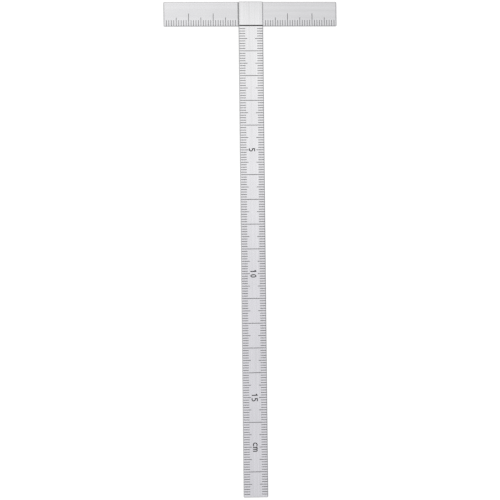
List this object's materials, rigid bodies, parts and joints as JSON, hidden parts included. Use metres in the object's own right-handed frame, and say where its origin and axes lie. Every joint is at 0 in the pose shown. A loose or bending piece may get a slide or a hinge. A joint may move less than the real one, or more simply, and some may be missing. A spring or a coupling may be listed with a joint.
{
  "type": "t square",
  "caption": "Small steel T square: a flat marked ruler blade riveted across the middle of a short flat head with scales on both arms.",
  "frame": {"origin": "centre of the head's guide face, on the blade's centre line, where the blade's scale is zero", "axes": "+X along the head to the right arm, -Y along the blade to its far end, +Z out of the marked faces"},
  "size_m": [0.0706, 0.2004, 0.004],
  "materials": {
    "blade_steel": "satin, brushed along the strip",
    "head_steel": "satin, brushed along the strip",
    "rivet_steel": "ground flush",
    "blade_marks": "matt black paint in etched marks",
    "head_marks": "matt black paint in etched marks"
  },
  "bodies": {
    "root": {"blade": "blade_steel", "head": "head_steel", "lap_rivets": "rivet_steel", "blade_left_scale_paint": "blade_marks", "blade_right_scale_paint": "blade_marks", "blade_centimetre_paint": "blade_marks", "blade_zero_line_paint": "blade_marks", "blade_numeral_paint": "blade_marks", "blade_unit_paint": "blade_marks", "head_left_scale_paint": "head_marks", "head_right_scale_paint": "head_marks"}
  },
  "joints": []
}
